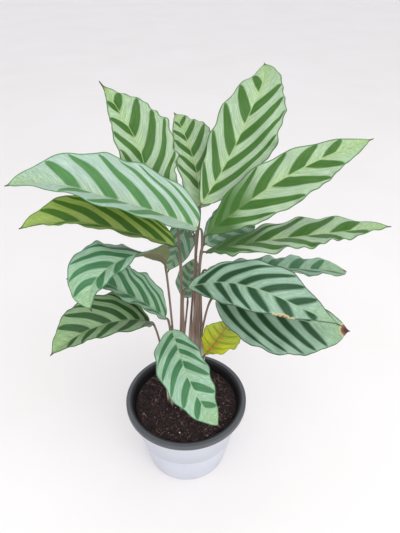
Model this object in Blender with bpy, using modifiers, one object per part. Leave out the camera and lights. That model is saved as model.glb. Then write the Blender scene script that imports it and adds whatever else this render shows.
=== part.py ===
"""A potted calathea: eighteen striped leaves on slim stalks, soil, and a liner pot in an outer pot.

Metres, +Z up. The origin is the centre of the outer pot's flat foot. Leaf rows are in millimetres
and degrees. Azimuth is measured from +X towards +Y.
"""

import math
from typing import NamedTuple

import bmesh
import bpy
import numpy as np

MM = 0.001
GAP = 0.3  # air left between two pieces that meet

TURNED_STEPS = 40  # sides of the pots and the soil
AXIS_MERGE = 0.00001  # metres; only the points on the axis itself are joined
OUTER_POT_PROFILE = (  # outer side from the top down, then the inside from the bottom up
    (60.9, 85.3),
    (60.8, 82.0),
    (45.6, 8.0),
    (44.9, 6.6),
    (43.9, 0.0),
    (0.0, 0.0),
    (0.0, 2.4),
    (42.2, 2.4),
    (59.3, 85.3),
)
GROW_POT_PROFILE = (  # the flange caps the outer pot's wall and its skirt hangs outside it
    (59.2, 87.5),
    (64.2, 87.5),
    (65.0, 86.7),
    (65.0, 82.2),
    (63.2, 82.2),
    (63.2, 85.6),
    (58.8, 85.6),
    (42.4, 8.0),
    (0.0, 8.0),
    (0.0, 9.6),
    (41.0, 9.6),
    (57.4, 85.0),
)
SOIL_PROFILE = (  # a low mound that stops clear of the liner's wall
    (0.0, 82.4),
    (22.0, 81.8),
    (40.0, 80.2),
    (51.0, 78.6),
    (55.2, 77.6),
    (40.6, 10.0),
    (0.0, 10.0),
)
SOIL_COLLAR_Z = 86.0  # a stalk is straight and upright up to here
FOOT_Z = 62.0  # the lower end of every stalk, down in the soil
HOLE_SIDES = 10
HOLE_CLEARANCE = 0.4

SHEATH_RADIUS = 2.0  # the clasping lower part of a stalk
STALK_RADIUS = 1.25
NECK_RADIUS = 1.05  # just under the blade
SHEATH_SHARE = 0.4  # share of a stalk's length that the sheath covers
SHEATH_TAPER = 0.15  # and the share over which it thins into the stalk
STALK_RISE = 0.45  # how far a stalk keeps straight up before it leans
NECK_LENGTH = 8.0  # the stalk bends into the midrib's direction over this length
NECK_END = 2.5  # and is straight for this last stretch
NECK_GAP = 0.45
STALK_POINTS = 9

BLADE_THICKNESS = 0.9
RIB_THICKNESS = 2.0  # at the blade's base, along the midrib
BLADE_ROWS = 18
SMALL_BLADE_ROWS = 12
BLADE_COLUMNS = (-1.0, -0.58, -0.12, 0.0, 0.12, 0.58, 1.0)  # shares of the half width
SMALL_BLADE_COLUMNS = (-1.0, -0.5, 0.0, 0.5, 1.0)
BASE_HALF_WIDTH = 1.1
WAVE_SWELL = 0.6  # lower carries the waves nearer to the base and the tip
WAVE_SIDE_SHIFT = 0.37  # the waves of the two edges don't line up
RUFFLE_SHIFT = 0.25  # the outline swings a quarter of a wave ahead of the rise
TANGENT_STEP = 0.001


class Leaf(NamedTuple):
    """One leaf: where it stands, the midrib's points from base to tip, and the blade's form."""

    name: str
    foot: tuple  # x, y of the stalk in the soil
    midrib: tuple  # points from the blade's base to its tip
    face: tuple  # azimuth and elevation that the upper side looks to
    width: float
    fold: float  # each half is raised this far from flat, as a V
    widest: float = 0.42  # share of the length
    face_tip: tuple = ()  # the same as face at the tip, where the blade turns over
    wave: float = 2.0  # height of the edge's waves
    waves: float = 5.0
    wave_start: float = 0.0
    lean: float = 0.0  # how much wider one half is
    skew: float = 0.0  # how much further out that half is widest
    ruffle: float = 0.03  # how far the outline itself swings in and out, as a share
    base: float = 0.58  # lower is rounder
    taper: float = 0.95  # higher draws the tip out
    small: bool = False


LEAVES = (
    Leaf(
        "tallest", (9, 8),
        ((16, 15, 313), (42, 35, 352), (60, 54, 387), (69, 73, 402), (71, 90, 412)),
        (-108, 25), 56, 8, widest=0.5, wave_start=0.2, lean=0.14, ruffle=0.04, base=0.68, taper=0.85,
    ),
    Leaf(
        "back_left", (-3, 14),
        ((-9, 18, 304), (-28, 27, 330), (-38, 42, 356), (-55, 60, 380), (-71, 72, 401)),
        (-60, 20), 52, 20, widest=0.46, lean=0.13, skew=0.06, taper=1.3,
    ),
    Leaf(
        "back_middle", (3, 19), ((15, 26, 304), (11, 50, 332), (1, 72, 354), (-9, 92, 368)),
        (-68, 25), 46, 16, widest=0.44, lean=0.2, skew=0.06, base=0.45,
    ),
    Leaf(
        "left_high", (3, -1),
        ((13, -6, 302), (-26, -6, 319), (-55, -10, 331), (-93, -14, 345), (-136, -16, 345)),
        (-90, 74), 60, 32, widest=0.45, wave=1.5, base=0.36,
    ),
    Leaf(
        "left_middle", (-6, 4), ((-7, -2, 282), (-45, -8, 299), (-82, -14, 312), (-132, -18, 308)),
        (-90, 78), 44, 36, widest=0.48, wave=1.5, base=0.5, taper=0.85,
    ),
    Leaf(
        "left_arching", (-10, 0),
        (
            (-16, -9, 269), (-26, -26, 289), (-46, -42, 294),
            (-59, -53, 291), (-69, -64, 281), (-69, -70, 264),
        ),
        (104, 46), 42, 14, widest=0.52, face_tip=(-110, 12), wave=1.5, lean=0.25, skew=0.12, taper=0.8,
    ),
    Leaf(
        "left_low", (-15, -9),
        ((-17, -12, 209), (-36, -20, 234), (-52, -27, 251), (-68, -32, 266), (-95, -36, 271)),
        (-90, 74), 39, 30, widest=0.38, wave=1.5, lean=0.08,
    ),
    Leaf(
        "left_lowest", (-19, -4), ((-31, -18, 209), (-50, -34, 225), (-77, -50, 229), (-110, -68, 215)),
        (-90, 74), 45, 30, widest=0.45, wave=1.5, lean=0.04, skew=0.08, base=0.62,
    ),
    Leaf(
        "front_hanging", (-5, -15), ((-11, -22, 203), (-4, -42, 195), (4, -62, 184), (33, -80, 138)),
        (-90, 60), 44, 12, widest=0.38, wave=1.5, wave_start=0.8, lean=0.1, skew=-0.06, ruffle=0.05,
    ),
    Leaf(
        "yellowing", (21, -12), ((20, -8, 157), (33, -11, 183), (44, -12, 206)),
        (-90, 30), 36, 12, widest=0.68, wave=1.5, waves=3.0, lean=0.06, skew=0.04, base=0.95, small=True,
    ),
    Leaf(
        "right_high", (10, 1), ((21, 1, 291), (52, -5, 324), (100, -5, 358), (148, 2, 376)),
        (-95, 45), 43, 10, widest=0.46, lean=0.11, skew=0.04, base=0.8,
    ),
    Leaf(
        "right_long", (17, 3), ((20, 7, 270), (66, -5, 288), (112, -10, 298), (172, -12, 307)),
        (-90, 88), 46, 8, widest=0.48, skew=-0.07, wave_start=0.5, base=0.7,
    ),
    Leaf(
        "right_hidden", (13, 18), ((20, 18, 271), (45, 32, 283), (70, 44, 293)),
        (-90, 40), 40, 8, widest=0.5, small=True,
    ),
    Leaf(
        "right_narrow", (19, 10), ((22, 14, 245), (69, 20, 242), (116, 26, 238), (158, 30, 232)),
        (90, 80), 42, 10, widest=0.6, taper=0.25,
    ),
    Leaf(
        "right_broad", (2, -10),
        ((4, -14, 245), (36, -30, 263), (66, -50, 269), (100, -58, 256), (130, -64, 244)),
        (-90, 50), 44, 10, widest=0.48, lean=-0.06, skew=-0.07, base=0.8, taper=1.45,
    ),
    Leaf(
        "right_lowest", (10, -9), ((30, -4, 225), (64, -20, 225), (103, -34, 225), (146, -42, 219)),
        (-90, 48), 55, 10, widest=0.5, lean=0.26, skew=0.02, base=0.58, taper=0.72,
    ),
    Leaf(
        "inner_left", (9, 39), ((9, 37, 271), (4, 35, 278), (-5, 29, 261), (-16, 22, 236)),
        (-90, 40), 27, 8, wave=1.0, waves=3.0, small=True,
    ),
    Leaf(
        "inner_back", (-5, 30), ((2, 45, 187), (4, 49, 209), (12, 54, 234)),
        (-90, 30), 27, 8, wave=1.0, waves=3.0, small=True,
    ),
)


class Finish(NamedTuple):
    """A material's colour and roughness."""

    color: tuple
    roughness: float


GREEN_BLADE = Finish((0.34, 0.55, 0.34, 1.0), 0.5)
YELLOW_BLADE = Finish((0.55, 0.58, 0.06, 1.0), 0.5)
PURPLE_STALK = Finish((0.10, 0.055, 0.05, 1.0), 0.45)
WHITE_POT = Finish((0.72, 0.76, 0.82, 1.0), 0.35)
GREY_POT = Finish((0.045, 0.05, 0.055, 1.0), 0.5)
BROWN_SOIL = Finish((0.022, 0.012, 0.010, 1.0), 0.95)


def clear_scene():
    for obj in list(bpy.data.objects):
        bpy.data.objects.remove(obj, do_unlink=True)


def new_collection(name):
    collection = bpy.data.collections.new(name)
    bpy.context.scene.collection.children.link(collection)
    return collection


def add_object(name, data, collection, finish):
    material = bpy.data.materials.new(name)
    material.use_nodes = True
    shader = material.node_tree.nodes["Principled BSDF"]
    shader.inputs["Base Color"].default_value = finish.color
    shader.inputs["Roughness"].default_value = finish.roughness
    data.materials.append(material)
    obj = bpy.data.objects.new(name, data)
    collection.objects.link(obj)
    return obj


def unit(vectors):
    return vectors / np.linalg.norm(vectors, axis=-1, keepdims=True)


def direction(azimuth, elevation):
    a, e = math.radians(azimuth), math.radians(elevation)
    return np.array([math.cos(a) * math.cos(e), math.sin(a) * math.cos(e), math.sin(e)])


def curve_through(points, shares):
    """Points at these shares of a smooth curve through the given points."""
    points = np.array(points, float)
    steps = np.linalg.norm(np.diff(points, axis=0), axis=1)
    knots = np.concatenate([[0.0], np.cumsum(steps)]) / steps.sum()
    slopes = np.gradient(points, knots, axis=0, edge_order=2)
    i = np.clip(np.searchsorted(knots, shares, side="right") - 1, 0, len(points) - 2)
    length = (knots[i + 1] - knots[i])[:, None]
    u = (shares - knots[i])[:, None] / length
    start, end = points[i], points[i + 1]
    leaving, arriving = slopes[i] * length, slopes[i + 1] * length
    return (
        (2 * u**3 - 3 * u**2 + 1) * start
        + (u**3 - 2 * u**2 + u) * leaving
        + (3 * u**2 - 2 * u**3) * end
        + (u**3 - u**2) * arriving
    )


def midrib_frames(leaf, shares):
    """The midrib's points with its direction, the way to one edge and the upper side's normal."""
    points = curve_through(leaf.midrib, shares)
    ahead = curve_through(leaf.midrib, np.clip(shares + TANGENT_STEP, 0, 1))
    behind = curve_through(leaf.midrib, np.clip(shares - TANGENT_STEP, 0, 1))
    along = unit(ahead - behind)
    base_face = direction(*leaf.face)
    tip_face = direction(*(leaf.face_tip or leaf.face))
    looks = unit(base_face * (1 - shares[:, None]) + tip_face * shares[:, None])
    across = unit(np.cross(along, looks))
    return points, along, across, np.cross(across, along)


def edge_turns(leaf, shares, side):
    """How many waves of the edge have passed."""
    return leaf.waves * shares + leaf.wave_start + WAVE_SIDE_SHIFT * (side >= 0)


def half_widths(leaf, shares, side):
    """Half the blade's width along its length: a round base and a drawn-out tip."""
    widest = leaf.widest + leaf.skew * side
    base = np.sin(math.pi / 2 * np.clip(shares / widest, 0, 1)) ** leaf.base
    tip = np.cos(math.pi / 2 * np.clip((shares - widest) / (1 - widest), 0, 1)) ** leaf.taper
    swing = leaf.ruffle * np.sin(2 * math.pi * (edge_turns(leaf, shares, side) + RUFFLE_SHIFT))
    half = leaf.width / 2 * (1 + leaf.lean * side) * (1 + swing)
    return np.maximum(half * np.where(shares < widest, base, tip), BASE_HALF_WIDTH)


def blade_points(leaf, shares, columns):
    """The upper surface: V-folded at the midrib, with waves that grow towards the edges."""
    points, _, across, up = midrib_frames(leaf, shares)
    slope = math.tan(math.radians(leaf.fold))
    swell = np.sin(math.pi * shares) ** WAVE_SWELL
    surface = np.empty((len(shares), len(columns), 3))
    for j, column in enumerate(columns):
        side = np.sign(column)
        half = half_widths(leaf, shares, side)
        wave = leaf.wave * swell * np.sin(2 * math.pi * edge_turns(leaf, shares, side))
        lift = half * slope * abs(column) + wave * column**2
        surface[:, j] = points + across * (half * column)[:, None] + up * lift[:, None]
    return surface


def build_blade(leaf, collection):
    """A grid laid over the blade's surface, closed at the tip, split into triangles and made solid."""
    rows = SMALL_BLADE_ROWS if leaf.small else BLADE_ROWS
    columns = SMALL_BLADE_COLUMNS if leaf.small else BLADE_COLUMNS
    shares = np.linspace(0, 1, rows + 1)
    surface = blade_points(leaf, shares, columns) * MM
    bm = bmesh.new()
    bmesh.ops.create_grid(bm, x_segments=rows, y_segments=len(columns) - 1, size=1)
    rib = bm.verts.layers.deform.verify()
    tip_verts = []
    for vert in bm.verts:
        i = round((vert.co.x + 1) / 2 * rows)
        j = round((vert.co.y + 1) / 2 * (len(columns) - 1))
        vert.co = surface[i, j]
        vert[rib][0] = 1 - shares[i] if columns[j] == 0 else 0.0
        if i == rows:
            tip_verts.append(vert)
    bmesh.ops.pointmerge(bm, verts=tip_verts, merge_co=surface[rows, len(columns) // 2])
    bmesh.ops.triangulate(bm, faces=bm.faces[:])
    bmesh.ops.reverse_faces(bm, faces=bm.faces[:])
    for face in bm.faces:
        face.smooth = True
    mesh = bpy.data.meshes.new("blade_" + leaf.name)
    bm.to_mesh(mesh)
    bm.free()
    finish = YELLOW_BLADE if leaf.name == "yellowing" else GREEN_BLADE
    obj = add_object("blade_" + leaf.name, mesh, collection, finish)
    obj.vertex_groups.new(name="rib")
    solidify = obj.modifiers.new("thickness", "SOLIDIFY")
    solidify.thickness = RIB_THICKNESS * MM
    solidify.vertex_group = "rib"
    solidify.thickness_vertex_group = BLADE_THICKNESS / RIB_THICKNESS
    solidify.offset = -1


def stalk_path(leaf):
    """Points from the foot to just short of the blade, which it meets along the midrib."""
    base = np.array(leaf.midrib[0], float)
    along = midrib_frames(leaf, np.zeros(1))[1][0]
    bend = base - along * NECK_END
    collar = np.array([*leaf.foot, SOIL_COLLAR_Z])
    rise = (bend[2] - SOIL_COLLAR_Z) * STALK_RISE
    lower = collar + np.array([0.0, 0.0, rise])
    upper = bend - along * NECK_LENGTH
    u = np.linspace(0, 1, STALK_POINTS)[:, None]
    bent = (1 - u) ** 3 * collar + 3 * u * (1 - u) ** 2 * lower + 3 * u**2 * (1 - u) * upper + u**3 * bend
    return np.vstack([[*leaf.foot, FOOT_Z], bent, base - along * NECK_GAP])


def stalk_radii(path):
    """Thick along the sheath, slimmer above it and slimmest at the neck."""
    steps = np.linalg.norm(np.diff(path, axis=0), axis=1)
    share = np.concatenate([[0.0], np.cumsum(steps)]) / steps.sum()
    marks = (0.0, SHEATH_SHARE, SHEATH_SHARE + SHEATH_TAPER, 1.0)
    return np.interp(share, marks, (SHEATH_RADIUS, SHEATH_RADIUS, STALK_RADIUS, NECK_RADIUS))


def build_stalk(leaf, collection):
    path = stalk_path(leaf)
    curve = bpy.data.curves.new("stalk_" + leaf.name, "CURVE")
    curve.dimensions = "3D"
    curve.bevel_depth = MM
    curve.bevel_resolution = 2
    curve.use_fill_caps = True
    spline = curve.splines.new("POLY")
    spline.points.add(len(path) - 1)
    for point, place, radius in zip(spline.points, path, stalk_radii(path)):
        point.co = (*(place * MM), 1.0)
        point.radius = radius
    spline.use_smooth = True
    add_object("stalk_" + leaf.name, curve, collection, PURPLE_STALK)


def turned(name, profile, collection, finish):
    """A profile in the XZ plane turned about Z."""
    mesh = bpy.data.meshes.new(name)
    edges = [(i, i + 1) for i in range(len(profile) - 1)]
    if profile[0][0] > 0:
        edges.append((len(profile) - 1, 0))
    mesh.from_pydata([(x * MM, 0, z * MM) for x, z in profile], edges, [])
    obj = add_object(name, mesh, collection, finish)
    screw = obj.modifiers.new("turn", "SCREW")
    screw.axis = "Z"
    screw.steps = TURNED_STEPS
    screw.render_steps = TURNED_STEPS
    screw.use_merge_vertices = True
    screw.merge_threshold = AXIS_MERGE
    screw.use_smooth_shade = True
    return obj


def build_soil(collection, cutters):
    """The soil with a plain hole for each stalk."""
    soil = turned("soil", SOIL_PROFILE, collection, BROWN_SOIL)
    depth = SOIL_COLLAR_Z - FOOT_Z + GAP
    bm = bmesh.new()
    for leaf in LEAVES:
        made = bmesh.ops.create_cone(
            bm,
            cap_ends=True,
            segments=HOLE_SIDES,
            radius1=(SHEATH_RADIUS + HOLE_CLEARANCE) * MM,
            radius2=(SHEATH_RADIUS + HOLE_CLEARANCE) * MM,
            depth=depth * MM,
        )
        centre = np.array([*leaf.foot, FOOT_Z - GAP + depth / 2]) * MM
        bmesh.ops.translate(bm, verts=made["verts"], vec=centre)
    mesh = bpy.data.meshes.new("stalk_holes")
    bm.to_mesh(mesh)
    bm.free()
    holes = bpy.data.objects.new("stalk_holes", mesh)
    holes.hide_render = True
    holes.display_type = "WIRE"
    cutters.objects.link(holes)
    cut = soil.modifiers.new("holes", "BOOLEAN")
    cut.object = holes
    cut.operation = "DIFFERENCE"
    cut.solver = "EXACT"


def main():
    clear_scene()
    plant = new_collection("potted_calathea")
    cutters = new_collection("cutters")
    cutters.hide_render = True
    turned("outer_pot", OUTER_POT_PROFILE, plant, WHITE_POT)
    turned("grow_pot", GROW_POT_PROFILE, plant, GREY_POT)
    build_soil(plant, cutters)
    for leaf in LEAVES:
        build_blade(leaf, plant)
        build_stalk(leaf, plant)


main()
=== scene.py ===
"""The looks of a potted calathea: striped leaves, stalks, soil and two moulded pots.

Lengths are in millimetres and angles in degrees up to the point where a mesh is made. The frame's
origin is the centre of the outer pot's foot, with +Z up and azimuths measured from +X towards +Y.
"""

import logging
import math
from dataclasses import dataclass
from enum import Enum
from functools import partial
from typing import Callable, Optional, Sequence

import bmesh
import bpy
import numpy as np
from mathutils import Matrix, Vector, noise


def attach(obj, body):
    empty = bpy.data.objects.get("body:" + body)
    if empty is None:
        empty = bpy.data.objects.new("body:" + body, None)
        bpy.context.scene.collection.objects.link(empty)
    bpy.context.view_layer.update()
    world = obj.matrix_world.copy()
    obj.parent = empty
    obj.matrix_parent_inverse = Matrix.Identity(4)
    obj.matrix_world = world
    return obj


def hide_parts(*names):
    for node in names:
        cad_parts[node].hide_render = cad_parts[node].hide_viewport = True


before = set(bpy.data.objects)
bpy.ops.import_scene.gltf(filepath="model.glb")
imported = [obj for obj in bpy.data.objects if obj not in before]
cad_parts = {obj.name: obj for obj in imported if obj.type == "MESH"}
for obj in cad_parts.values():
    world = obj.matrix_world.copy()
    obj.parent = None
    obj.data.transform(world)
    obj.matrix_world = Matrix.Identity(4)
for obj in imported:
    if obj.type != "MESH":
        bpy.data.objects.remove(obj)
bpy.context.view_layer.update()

LOG = logging.getLogger("potted_calathea")
MM = 0.001
TURN = 2 * math.pi
RGBA = {"data_type": "RGBA"}
BODY = "root"

Array = np.ndarray
Piece = bpy.types.Object
Socket = bpy.types.NodeSocket
Adder = Callable[..., Socket]
Shading = tuple[dict, dict]
Colour = tuple[float, float, float, float]
Pair = tuple[float, float]
Point = tuple[float, float, float]
Stops = Sequence[tuple[float, str]]


# ---- node and colour helpers


def linear(hex_colour: str) -> Colour:
    """Turn an sRGB hex colour into linear RGBA.

    Args:
        hex_colour: six hex digits with a leading #.

    Returns:
        The linear colour with full alpha.
    """
    shares = [int(hex_colour[i : i + 2], 16) / 255 for i in (1, 3, 5)]
    red, green, blue = (s / 12.92 if s <= 0.04045 else ((s + 0.055) / 1.055) ** 2.4 for s in shares)
    return red, green, blue, 1.0


def add_node(
    tree: bpy.types.NodeTree, kind: str, settings: Optional[dict] = None, links: Optional[dict] = None,
    out: int | str = 0,
) -> Socket:
    """Add one node with its settings and links.

    Args:
        tree: node tree that takes the node.
        kind: the node's type name without its "ShaderNode".
        settings: values by property name, or by input name or number; "stops" fills a colour ramp.
        links: output sockets by the input name or number that they feed.
        out: name or number of the output that is wanted.

    Returns:
        That output of the new node.
    """
    node = tree.nodes.new("ShaderNode" + kind)
    for key, value in (settings or {}).items():
        if key == "stops":
            elements = node.color_ramp.elements
            while len(elements) > 1:
                elements.remove(elements[-1])
            elements[0].position, elements[0].color = value[0]
            for position, colour in value[1:]:
                elements.new(position).color = colour
        elif isinstance(key, str) and key.islower():
            setattr(node, key, value)
        else:
            node.inputs[key].default_value = value
    for key, socket in (links or {}).items():
        tree.links.new(socket, node.inputs[key])
    return node.outputs[out]


def ramp(stops: Stops) -> dict:
    """The settings of a colour ramp whose colours are sRGB hex."""
    return {"stops": [(at, linear(colour)) for at, colour in stops]}


def laid_over(
    add: Adder, skin: Socket, measure: Socket, span: Sequence[float], colour: Colour, ease: str = "LINEAR",
) -> Socket:
    """Lay a colour over a skin, by a share that depends on a measure.

    Args:
        add: adds one node to the material's tree.
        skin: the colour below.
        measure: what the share depends on.
        span: two readings of the measure and the colour's share at each.
        colour: the colour laid over the skin.
        ease: how the share changes from one to the other.

    Returns:
        The colour of both together.
    """
    mask = add("MapRange", {"interpolation_type": ease, **dict(enumerate(span, 1))}, {0: measure})
    return add("Mix", {**RGBA, 7: colour}, {0: mask, 6: skin}, 2)


# ---- mesh helpers


def unit(vectors: Array) -> Array:
    """Vectors scaled to length one."""
    return vectors / np.linalg.norm(vectors, axis=-1, keepdims=True)


def direction(azimuth: float, elevation: float) -> Array:
    """The unit vector that points to an azimuth and elevation in degrees."""
    a, e = math.radians(azimuth), math.radians(elevation)
    return np.array([math.cos(a) * math.cos(e), math.sin(a) * math.cos(e), math.sin(e)])


def curve_through(points: Sequence[Point], shares: Array) -> Array:
    """Sample a smooth curve through the given points.

    Args:
        points: the points it passes through, in mm.
        shares: shares of its chord length, 0 at the first point and 1 at the last.

    Returns:
        One point for each share.
    """
    knots_at = np.array(points, float)
    steps = np.linalg.norm(np.diff(knots_at, axis=0), axis=1)
    knots = np.concatenate([[0.0], np.cumsum(steps)]) / steps.sum()
    slopes = np.gradient(knots_at, knots, axis=0, edge_order=2)
    i = np.clip(np.searchsorted(knots, shares, side="right") - 1, 0, len(knots_at) - 2)
    length = (knots[i + 1] - knots[i])[:, None]
    u = (shares - knots[i])[:, None] / length
    leaving, arriving = slopes[i] * length, slopes[i + 1] * length
    return (
        (2 * u**3 - 3 * u**2 + 1) * knots_at[i]
        + (u**3 - 2 * u**2 + u) * leaving
        + (3 * u**2 - 2 * u**3) * knots_at[i + 1]
        + (u**3 - u**2) * arriving
    )


def grid_faces(rows: int, columns: int, wrap: bool = False) -> list[tuple[int, int, int, int]]:
    """List the quads of a grid of points stored row by row.

    Args:
        rows: how many rows of points.
        columns: how many points in a row.
        wrap: whether the last column joins the first.

    Returns:
        Four point numbers for each quad.
    """
    across = columns if wrap else columns - 1
    faces = []
    for i in range(rows - 1):
        for j in range(across):
            k = (j + 1) % columns
            faces.append((i * columns + j, i * columns + k, (i + 1) * columns + k, (i + 1) * columns + j))
    return faces


def make_piece(
    name: str, points: Array, faces: Sequence[Sequence[int]], marks: Optional[dict] = None,
) -> Piece:
    """Make a smooth mesh object from points in mm.

    Args:
        name: the object's name.
        points: its vertices, in mm.
        faces: vertex numbers of each face.
        marks: float attributes by name, one value for each vertex.

    Returns:
        The object, linked to the scene.
    """
    mesh = bpy.data.meshes.new(name)
    mesh.from_pydata((np.asarray(points, float) * MM).tolist(), [], faces)
    for mark, values in (marks or {}).items():
        attribute = mesh.attributes.new(mark, "FLOAT", "POINT")
        attribute.data.foreach_set("value", np.asarray(values, np.float32).ravel())
    mesh.shade_smooth()
    piece = bpy.data.objects.new(name, mesh)
    bpy.context.scene.collection.objects.link(piece)
    return piece


def settle(piece: Piece, slot: str, *nodes: str) -> None:
    """Let a piece ride on the body and stand for CAD nodes, which it hides.

    Args:
        piece: the visual piece.
        slot: name of the record's material slot; not used.
        nodes: CAD nodes that it stands for.
    """
    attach(piece, BODY)
    if nodes:
        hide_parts(*nodes)


def softened(profile: Sequence[tuple[float, float, float]], steps: int = 4) -> Array:
    """Round the corners of a profile.

    Args:
        profile: radius, height and how far from the corner the rounding starts, in mm.
        steps: points added to each rounded corner.

    Returns:
        Radius and height of each point of the rounded profile.
    """
    points = np.array([row[:2] for row in profile], float)
    rounded = [points[0]]
    softness = [row[2] for row in profile[1:-1]]
    for before, corner, after, soft in zip(points[:-2], points[1:-1], points[2:], softness):
        if soft == 0:
            rounded.append(corner)
            continue
        start = corner + unit(before - corner) * soft
        end = corner + unit(after - corner) * soft
        for u in np.linspace(0, 1, steps + 1):
            rounded.append((1 - u) ** 2 * start + 2 * u * (1 - u) * corner + u**2 * end)
    rounded.append(points[-1])
    return np.array(rounded)


def closed_faces(rows: int, sides: int) -> list[Sequence[int]]:
    """List the faces of a wrapped grid that two poles close.

    Args:
        rows: how many rings of points.
        sides: how many points in a ring.

    Returns:
        Its quads and end fans. The first ring's pole and then the last's follow the rings' points.
    """
    first, last, top = rows * sides, rows * sides + 1, (rows - 1) * sides
    faces: list[Sequence[int]] = list(grid_faces(rows, sides, wrap=True))
    faces += [(first, (j + 1) % sides, j) for j in range(sides)]
    return faces + [(last, top + j, top + (j + 1) % sides) for j in range(sides)]


def turned(name: str, profile: Array, sides: int) -> Piece:
    """Turn a profile that starts and ends on the Z axis.

    Args:
        name: the object's name.
        profile: radius and height from the outside's pole round to the inside's, in mm.
        sides: how many sides the turning has.

    Returns:
        The closed turned piece.
    """
    angles = np.linspace(0, TURN, sides, endpoint=False)
    body = profile[1:-1]
    points = np.empty((len(body), sides, 3))
    points[:, :, :2] = np.stack([np.cos(angles), np.sin(angles)], axis=1)[None] * body[:, 0, None, None]
    points[:, :, 2] = body[:, 1, None]
    poles = np.array([[0, 0, profile[0, 1]], [0, 0, profile[-1, 1]]])
    return make_piece(name, np.vstack([points.reshape(-1, 3), poles]), closed_faces(len(body), sides))


# ---- finishes


@dataclass(frozen=True)
class Finish:
    """A real material, shown by one Principled shader and the nodes that feed it."""

    name: str

    def shading(self, add: Adder) -> Shading:
        """Add the nodes that feed the shader. Each finish has its own.

        Args:
            add: adds one node to the material's tree.

        Returns:
            The shader's constant values and its links, by input name.
        """
        raise NotImplementedError

    def material(self) -> bpy.types.Material:
        """Build the node material.

        Returns:
            The material.
        """
        material = bpy.data.materials.new(self.name)
        material.use_nodes = True
        tree = material.node_tree
        tree.nodes.clear()
        add = partial(add_node, tree)
        shader = add("BsdfPrincipled", *self.shading(add))
        surface = tree.nodes.new("ShaderNodeOutputMaterial")
        tree.links.new(shader, surface.inputs["Surface"])
        return material

    def dress(self, piece: Piece) -> None:
        """Give a piece this finish."""
        piece.data.materials.append(self.material())


@dataclass(frozen=True)
class MouldedPolypropylene(Finish):
    """Injection-moulded polypropylene: an even, slightly waxy satin skin with a faint mould grain."""

    colour: str
    shade: str  # the same plastic where dust and handling have dulled it
    roughness: float = 0.42
    ior: float = 1.49  # polypropylene
    grain: float = 0.9  # mm between the bumps of the mould's spark grain, drawn coarse enough to show
    grain_depth: float = 0.03
    dust: float = 0.0  # share of the skin with a film of dry soil
    dust_colour: str = "#3a2f2b"
    soiled_and_shaded_within: float = 0.0  # mm from the axis within which the wall is darkened: partly soil stain, partly painted shade inside the pot
    soil_and_shade_colour: str = "#161517"

    def shading(self, add: Adder) -> Shading:
        """Feed the shader: cloudy plastic, a dust film, a dark inner wall of soil stain and painted shade,
        and the mould's grain.

        Args:
            add: adds one node to the material's tree.

        Returns:
            The shader's values and links.
        """
        place = add("TexCoord", out="Object")
        cloud = add("TexNoise", {"Scale": 1 / (24 * MM), "Detail": 4.0}, {"Vector": place})
        skin = add("Mix", {**RGBA, 6: linear(self.colour), 7: linear(self.shade)}, {0: cloud}, 2)
        speck = add("TexNoise", {"Scale": 1 / (2.2 * MM), "Detail": 5.0}, {"Vector": place})
        film = (0.62 - 0.25 * self.dust, 0.72, 0.0, self.dust)
        dusty = laid_over(add, skin, speck, film, linear(self.dust_colour))
        level = add("VectorMath", {"operation": "MULTIPLY", 1: (1.0, 1.0, 0.0)}, {0: place})
        radius = add("VectorMath", {"operation": "LENGTH"}, {0: level}, "Value")
        # the inner wall turns near-black: soil stain together with painted shade
        soil_and_shade_span = ((self.soiled_and_shaded_within - 1.0) * MM, self.soiled_and_shaded_within * MM, 1.0, 0.0)
        soiled_and_shaded = laid_over(add, dusty, radius, soil_and_shade_span, linear(self.soil_and_shade_colour))
        grain = add("TexNoise", {"Scale": 1 / (self.grain * MM), "Detail": 2.0}, {"Vector": place})
        bump = add("Bump", {"Strength": 0.5, "Distance": self.grain_depth * MM}, {"Height": grain})
        rough = add("MapRange", {3: self.roughness - 0.05, 4: self.roughness + 0.1}, {0: cloud})
        return {"IOR": self.ior}, {"Base Color": soiled_and_shaded, "Roughness": rough, "Normal": bump}


@dataclass(frozen=True)
class Peat(Finish):
    """Damp potting soil: near-black decomposed peat with red-brown flecks and a dull, crumbly surface."""

    name: str = "damp_peat"
    colours: Stops = ((0.32, "#120d0e"), (0.58, "#2b1c1b"), (0.8, "#6e4f4a"))
    crumb: float = 2.4  # mm across a common crumb
    roughness: float = 0.92

    def shading(self, add: Adder) -> Shading:
        """Feed the shader: crumbs that give both the colour and the relief.

        Args:
            add: adds one node to the material's tree.

        Returns:
            The shader's values and links.
        """
        place = add("TexCoord", out="Object")
        size = {"Scale": 1 / (self.crumb * MM), "Detail": 6.0, "Roughness": 0.7}
        crumbs = add("TexNoise", size, {"Vector": place})
        colour = add("ValToRGB", ramp(self.colours), {0: crumbs})
        bump = add("Bump", {"Strength": 0.9, "Distance": 0.6 * MM}, {"Height": crumbs})
        return {"Roughness": self.roughness}, {"Base Color": colour, "Normal": bump}


@dataclass(frozen=True)
class LooseGrain(Finish):
    """Crumbs, fibres or grains in the soil: a dull natural material whose colour changes from bit to bit."""

    colours: Stops  # along the attribute "tone"
    grit: float = 0.8  # mm
    roughness: float = 0.9

    def shading(self, add: Adder) -> Shading:
        """Feed the shader: a tone for each bit, broken up by grit.

        Args:
            add: adds one node to the material's tree.

        Returns:
            The shader's values and links.
        """
        tone = add("Attribute", {"attribute_name": "tone"}, out="Fac")
        place = add("TexCoord", out="Object")
        grit = add("TexNoise", {"Scale": 1 / (self.grit * MM), "Detail": 3.0}, {"Vector": place})
        mixed = add("Math", {"operation": "MULTIPLY_ADD", 1: 0.35, 2: -0.17}, {0: grit})
        along = add("Math", {"operation": "ADD"}, {0: tone, 1: mixed})
        colour = add("ValToRGB", ramp(self.colours), {0: along})
        bump = add("Bump", {"Strength": 0.6, "Distance": 0.3 * MM}, {"Height": grit})
        return {"Roughness": self.roughness}, {"Base Color": colour, "Normal": bump}


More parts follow.
